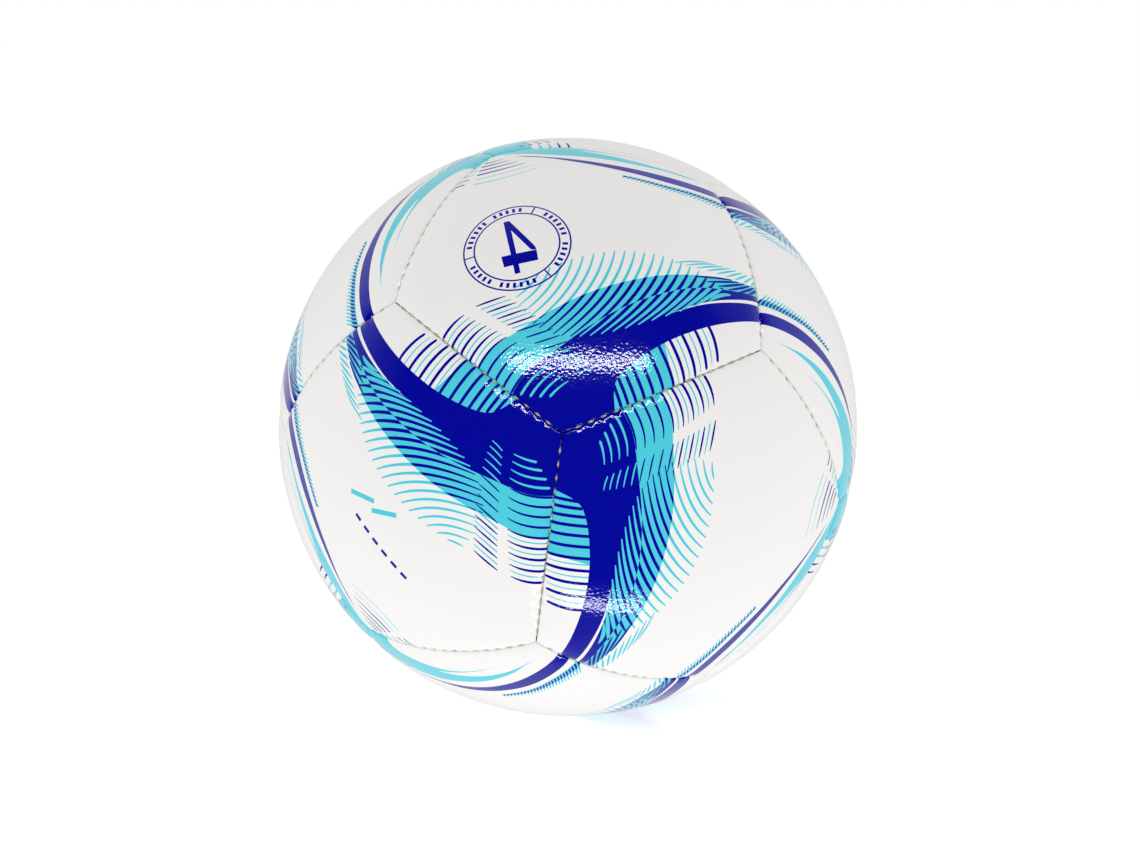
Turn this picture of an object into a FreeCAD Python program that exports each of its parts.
"""Stitched football of twelve five-sided panels, with its linings, seam threads, bladder and valve.

Millimetres. The origin is the centre of the ball. A corner where three panels meet faces -Y, and
+Z is up. The twelve panels are the faces of a regular dodecahedron blown up to a sphere.
"""
import FreeCAD, Part
import math
import os

Vector = FreeCAD.Vector
Rotation = FreeCAD.Rotation
Placement = FreeCAD.Placement

GOLDEN = (1 + math.sqrt(5)) / 2
SIDES = 5
SIDE_STEP = 360 / SIDES
# Angles at the ball's centre, from the middle of a panel to its corner and to the middle of its
# side, and the angle that one side spans.
CORNER_ANGLE = math.degrees(math.acos(math.sqrt((5 + 2 * math.sqrt(5)) / 15)))
SIDE_ANGLE = math.degrees(math.atan(1 / GOLDEN))
SPAN_ANGLE = math.degrees(math.acos(math.sqrt(5) / 3))

DIMENSIONS = [
    ("ball_radius", 103.0, "pumped-up ball over its panels"),
    ("front_seam_rise", 22.5, "degrees that the front corner's right-hand seam climbs above +X"),
    ("corner_angle", CORNER_ANGLE, "degrees from a panel's middle to its corner"),
    ("side_angle", SIDE_ANGLE, "degrees from a panel's middle to the middle of its side"),
    ("span_angle", SPAN_ANGLE, "degrees that one side of a panel spans"),
    ("seam_gap", 0.8, "gap between two panels along a seam"),
    ("lip", 1.1, "bevel where a panel turns down into its seam"),
    ("cover_thickness", 1.25, "skin of a panel"),
    ("flange_depth", 3.5, "depth of a panel's turned-in edge below the ball's surface"),
    ("bond_gap", 0.05, "film of glue between two bonded layers"),
    ("lining_depth", 3.4, "depth of the lining's inner face below the ball's surface"),
    ("stitch_depth", 1.85, "depth of the middle of the thread's wave"),
    ("thread_radius", 0.32, "waxed seam thread"),
    ("stitches_per_seam", 16, "whole stitches along one side of a panel"),
    ("seam_end_angle", 1.2, "degrees from a seam's end to the end of its thread"),
    ("bladder_depth", 3.7, "depth of the bladder's outer face below the ball's surface"),
    ("bladder_wall", 0.9, "rubber wall of the bladder"),
    ("patch_radius", 16.0, "round rubber patch inside the bladder, around the valve"),
    ("patch_thickness", 0.9, "rubber patch"),
    ("cover_hole_radius", 3.1, "hole through the panel for the valve's neck"),
    ("lining_hole_radius", 3.3, "hole through the lining for the valve's neck"),
    ("bladder_hole_radius", 3.0, "hole through the bladder and the patch for the valve's neck"),
    ("neck_radius", 2.9, "neck of the valve housing"),
    ("neck_sink", 0.3, "depth of the neck's end below the ball's surface"),
    ("housing_flange_radius", 9.0, "flange of the housing, bonded under the patch"),
    ("housing_flange_thickness", 1.8, "flange of the housing at its middle"),
    ("barrel_radius", 4.5, "barrel of the housing inside the bladder"),
    ("barrel_length", 16.0, "barrel below the flange"),
    ("plug_bore_radius", 1.8, "bore of the housing that holds the plug"),
    ("plug_seat_radius", 2.3, "counterbore for the plug's head"),
    ("plug_seat_depth", 0.9, "counterbore for the plug's head"),
    ("plug_clearance", 0.05, "plug to housing, all round"),
    ("plug_length", 16.7, "plug from its outer end to its tip"),
    ("outlet_radius", 0.9, "air outlet at the bottom of the housing"),
    ("needle_bore_radius", 0.95, "bore that grips the pump's needle"),
    ("needle_bore_length", 12.7, "depth of the needle's bore"),
    ("slit_width", 0.25, "slit that closes when the needle leaves"),
    ("slit_length", 2.4, "slit across the plug's tip"),
    ("core_height", 60.0, "height at which the wedges that cut out the panels start"),
    ("outside_height", 140.0, "height at which the wedges that cut out the panels end"),
]

doc = FreeCAD.newDocument("football")
sheet = doc.addObject("Spreadsheet::Sheet", "dimensions")
for row, (alias, value, meaning) in enumerate(DIMENSIONS, start=1):
    sheet.set(f"A{row}", meaning)
    sheet.set(f"B{row}", repr(value))
    sheet.setAlias(f"B{row}", alias)
doc.recompute()


def size(alias):
    """A driving dimension, as the sheet holds it."""
    return float(sheet.get(alias))


def bind(piece, **expressions):
    """Ties a piece's properties to the sheet; every name in the expressions is an alias of it."""
    for prop, expression in expressions.items():
        piece.setExpression(prop.replace("_", "."), expression.replace("$", "dimensions."))
    return piece


def sphere(name, radius):
    """A ball whose poles and seam line lie away from +Z, so that no panel holds them."""
    piece = bind(doc.addObject("Part::Sphere", name), Radius=radius)
    piece.Placement = Placement(Vector(0, 0, 0), Rotation(Vector(1, 0, 0), 90))
    return piece


def cylinder(name, radius, low, high):
    """A round bar along +Z between two distances from the ball's centre."""
    piece = doc.addObject("Part::Cylinder", name)
    return bind(piece, Radius=radius, Height=f"({high}) - ({low})", Placement_Base_z=low)


def cut(name, base, tool):
    piece = doc.addObject("Part::Cut", name)
    piece.Base = base
    piece.Tool = tool
    return piece


def common(name, *shapes):
    piece = doc.addObject("Part::MultiCommon", name)
    piece.Shapes = list(shapes)
    return piece


def fuse(name, *shapes):
    piece = doc.addObject("Part::MultiFuse", name)
    piece.Shapes = list(shapes)
    return piece


def wedge(name, inset):
    """Five planes through the ball's centre, each moved inwards by inset, as one tall solid.

    One corner of the five points to -Y, seen from outside the ball.
    """
    rings = []
    for end, height in (("bottom", "$core_height"), ("top", "$outside_height")):
        ring = doc.addObject("Part::RegularPolygon", f"{name}_{end}")
        ring.Polygon = SIDES
        ring.Placement = Placement(Vector(0, 0, 0), Rotation(Vector(0, 0, 1), -90))
        apex = f"({inset}) / sin($side_angle)"
        bind(ring, Circumradius=f"({height} - {apex}) * tan($corner_angle)", Placement_Base_z=height)
        rings.append(ring)
    piece = doc.addObject("Part::Loft", name)
    piece.Sections = rings
    piece.Solid = True
    piece.Ruled = True
    return piece


def row_direction(x, y, z):
    """A direction of the standard dodecahedron, turned as the ball lies: its corner (1, 1, 1) faces -Y."""
    corner = Vector(1, 1, 1).normalize()
    neighbour = Vector(0, 1 / GOLDEN, GOLDEN)
    along = (neighbour - corner * neighbour.dot(corner)).normalize()
    across = corner.cross(along)
    rise = math.radians(size("front_seam_rise"))
    right = Vector(math.cos(rise), 0, math.sin(rise))
    up = Vector(-math.sin(rise), 0, math.cos(rise))
    given = Vector(x, y, z).normalize()
    return right * given.dot(along) + up * given.dot(across) + Vector(0, -1, 0) * given.dot(corner)


def panel_placements():
    """The twelve panels: +Z of each is its outward middle, and its -Y corner is a main corner.

    Four corners of the ball, spread as a tetrahedron's, are main corners with three panels each.
    """
    placements = []
    for sx, sy, sz in ((1, 1, 1), (1, -1, -1), (-1, 1, -1), (-1, -1, 1)):
        corner = row_direction(sx, sy, sz)
        for nx, ny, nz in ((1, 0, GOLDEN), (GOLDEN, 1, 0), (0, GOLDEN, 1)):
            outward = row_direction(sx * nx, sy * ny, sz * nz)
            upward = (outward * corner.dot(outward) - corner).normalize()
            turn = Rotation(upward.cross(outward), upward, outward, "ZYX")
            placements.append(Placement(Vector(0, 0, 0), turn))
    return placements


def side_directions(side):
    """One side of a panel about +Z: the directions of the side's middle and along the side."""
    tilt = math.radians(size("side_angle"))
    around = math.radians(-90 + (side + 0.5) * SIDE_STEP)
    level = Vector(math.cos(around), math.sin(around), 0)
    return level * math.sin(tilt) + Vector(0, 0, math.cos(tilt)), Vector(0, 0, 1).cross(level)


def lip_cones():
    """Cones about each side's plane, which bevel the panel's outer edge evenly along the side."""
    cones = []
    for side in range(SIDES):
        middle, along = side_directions(side)
        inward = middle.cross(along)
        piece = doc.addObject("Part::Cone", f"lip_cone_{side + 1}")
        narrow = "$ball_radius - $lip"
        bind(piece, Radius1=narrow, Radius2=f"{narrow} + $ball_radius", Height="$ball_radius")
        turn = Rotation(-middle, inward.cross(-middle), inward, "ZXY")
        piece.Placement = Placement(inward * (size("seam_gap") / 2), turn)
        cones.append(piece)
    return cones


def seam_placements(panels):
    """The thirty seams: +Z of each is the seam's middle, and +X runs along it."""
    placements = []
    middles = []
    for panel in panels:
        for side in range(SIDES):
            middle, along = (panel.Rotation.multVec(direction) for direction in side_directions(side))
            if any(middle.dot(other) > 0.99 for other in middles):
                continue
            middles.append(middle)
            turn = Rotation(along, middle.cross(along), middle, "ZXY")
            placements.append(Placement(Vector(0, 0, 0), turn))
    return placements


def thread_shape():
    """One seam's thread: a wave of arcs in the seam's plane, dipping under and rising at each stitch."""
    half_waves = 2 * int(size("stitches_per_seam")) + 1
    span = math.radians(size("span_angle") - 2 * size("seam_end_angle"))
    step = span / half_waves
    middle_radius = size("ball_radius") - size("stitch_depth")
    arc_centre = middle_radius / math.cos(step / 2)
    arc_radius = middle_radius * math.tan(step / 2)

    def at(angle, radius):
        return Vector(radius * math.sin(angle), 0, radius * math.cos(angle))

    edges = []
    for k in range(half_waves):
        start = -span / 2 + k * step
        side = 1 if k % 2 else -1
        crest = at(start + step / 2, arc_centre + side * arc_radius)
        arc = Part.Arc(at(start, middle_radius), crest, at(start + step, middle_radius))
        edges.append(arc.toShape())
    path = Part.Wire(edges)
    start_point = at(-span / 2, middle_radius)
    profile = Part.Circle(start_point, start_point, size("thread_radius")).toShape()
    return path.makePipeShell([Part.Wire(profile)], True, False)


# Shared shapes, each about +Z.
half_gap = "$seam_gap / 2"
pocket_inset = f"{half_gap} + $cover_thickness"
ball = sphere("ball", "$ball_radius")
under_flange = sphere("under_flange", "$ball_radius - $flange_depth")
under_cover = sphere("under_cover", "$ball_radius - $cover_thickness")
lining_outside = sphere("lining_outside", "$ball_radius - $cover_thickness - $bond_gap")
lining_inside = sphere("lining_inside", "$ball_radius - $lining_depth")
flange_layer = cut("flange_layer", ball, under_flange)
cover_block = common("cover_block", flange_layer, wedge("cover_wedge", half_gap), *lip_cones())
pocket = common("cover_pocket", under_cover, wedge("pocket_wedge", pocket_inset))
lining_layer = cut("lining_layer", lining_outside, lining_inside)
lining_wedge = wedge("lining_wedge", f"{pocket_inset} + $bond_gap")
cover_hole = cylinder("cover_hole", "$cover_hole_radius", "$core_height", "$outside_height")
lining_hole = cylinder("lining_hole", "$lining_hole_radius", "$core_height", "$outside_height")
doc.recompute()

panels = panel_placements()
seams = seam_placements(panels)
# The valve sits in the panel that faces most to the back, the left and up.
VALVE_SIDE = Vector(-0.5, 0.8, 0.4)
valve_place = max(panels, key=lambda place: place.Rotation.multVec(Vector(0, 0, 1)).dot(VALVE_SIDE))
parts = []


def keep(piece, label, placement):
    piece.Label = label
    piece.Placement = placement
    parts.append(piece)
    return piece


def make_cover_panels():
    for number, place in enumerate(panels, start=1):
        label = f"cover_panel_{number:02d}"
        inside = fuse("pocket_and_hole", pocket, cover_hole) if place is valve_place else pocket
        keep(cut(label, cover_block, inside), label, place)


def make_linings():
    for number, place in enumerate(panels, start=1):
        label = f"lining_{number:02d}"
        if place is valve_place:
            piece = cut(label, common("lining_block", lining_layer, lining_wedge), lining_hole)
        else:
            piece = common(label, lining_layer, lining_wedge)
        keep(piece, label, place)


def make_seam_threads():
    shape = thread_shape()
    for number, place in enumerate(seams, start=1):
        piece = doc.addObject("Part::Feature", f"seam_thread_{number:02d}")
        piece.Shape = shape
        keep(piece, f"seam_thread_{number:02d}", place)


def make_bladder():
    outside = sphere("bladder_outside", "$ball_radius - $bladder_depth")
    inside = sphere("bladder_inside", "$ball_radius - $bladder_depth - $bladder_wall")
    hole = cylinder("bladder_hole", "$bladder_hole_radius", "$core_height", "$outside_height")
    keep(cut("bladder", cut("bladder_ball", outside, inside), hole), "bladder", valve_place)


def make_valve_patch():
    top = "$ball_radius - $bladder_depth - $bladder_wall - $bond_gap"
    patch_inside = sphere("patch_inside", f"{top} - $patch_thickness")
    layer = cut("patch_layer", sphere("patch_outside", top), patch_inside)
    disc = cylinder("patch_disc", "$patch_radius", "$core_height", "$outside_height")
    hole = cylinder("patch_hole", "$bladder_hole_radius", "$core_height", "$outside_height")
    keep(cut("valve_patch", common("patch_cap", layer, disc), hole), "valve_patch", valve_place)


def make_valve_housing():
    mouth = "$ball_radius - $neck_sink"
    flange_top = "$ball_radius - $bladder_depth - $bladder_wall - 2 * $bond_gap - $patch_thickness"
    flange_bottom = f"{flange_top} - $housing_flange_thickness"
    neck = cylinder("housing_neck", "$neck_radius", flange_bottom, mouth)
    flange_disc = cylinder("flange_disc", "$housing_flange_radius", flange_bottom, mouth)
    flange = common("housing_flange", flange_disc, sphere("flange_ball", flange_top))
    barrel = cylinder("housing_barrel", "$barrel_radius", f"{flange_bottom} - $barrel_length", flange_bottom)
    seat = cylinder("plug_seat", "$plug_seat_radius", f"{mouth} - $plug_seat_depth", "$outside_height")
    bore_bottom = f"{mouth} - $plug_length - $plug_clearance"
    bore = cylinder("plug_bore", "$plug_bore_radius", bore_bottom, "$outside_height")
    outlet = cylinder("air_outlet", "$outlet_radius", "$core_height", "$outside_height")
    solid = fuse("housing_solid", neck, flange, barrel)
    hollow = fuse("housing_hollow", seat, bore, outlet)
    keep(cut("valve_housing", solid, hollow), "valve_housing", valve_place)


def make_valve_plug():
    mouth = "$ball_radius - $neck_sink"
    head_bottom = f"{mouth} - $plug_seat_depth + $plug_clearance"
    tip = f"{mouth} - $plug_length"
    head = cylinder("plug_head", "$plug_seat_radius - $plug_clearance", head_bottom, mouth)
    shank = cylinder("plug_shank", "$plug_bore_radius - $plug_clearance", tip, head_bottom)
    bore_bottom = f"{mouth} - $needle_bore_length"
    bore = cylinder("needle_bore", "$needle_bore_radius", bore_bottom, "$outside_height")
    slit = doc.addObject("Part::Box", "plug_slit")
    bind(slit, Length="$slit_length", Width="$slit_width", Height=f"{bore_bottom} - $core_height")
    bind(slit, Placement_Base_x="-$slit_length / 2", Placement_Base_y="-$slit_width / 2")
    bind(slit, Placement_Base_z="$core_height")
    solid = fuse("plug_solid", head, shank)
    keep(cut("valve_plug", solid, fuse("plug_hollow", bore, slit)), "valve_plug", valve_place)


make_cover_panels()
make_linings()
make_seam_threads()
make_bladder()
make_valve_patch()
make_valve_housing()
make_valve_plug()
doc.recompute()

for piece in doc.Objects:
    if "Invalid" in piece.State or "Error" in piece.State:
        raise RuntimeError(f"{piece.Name} failed: {piece.State}")
for piece in parts:
    if piece.Shape.isNull() or not piece.Shape.isValid():
        raise RuntimeError(f"{piece.Label} has no valid shape")

os.makedirs("parts", exist_ok=True)
for piece in parts:
    piece.Shape.exportStep(f"parts/{piece.Label}.step")
print(f"{len(parts)} sub-parts, {sum(piece.Shape.Volume for piece in parts) / 1000:.1f} cm3")
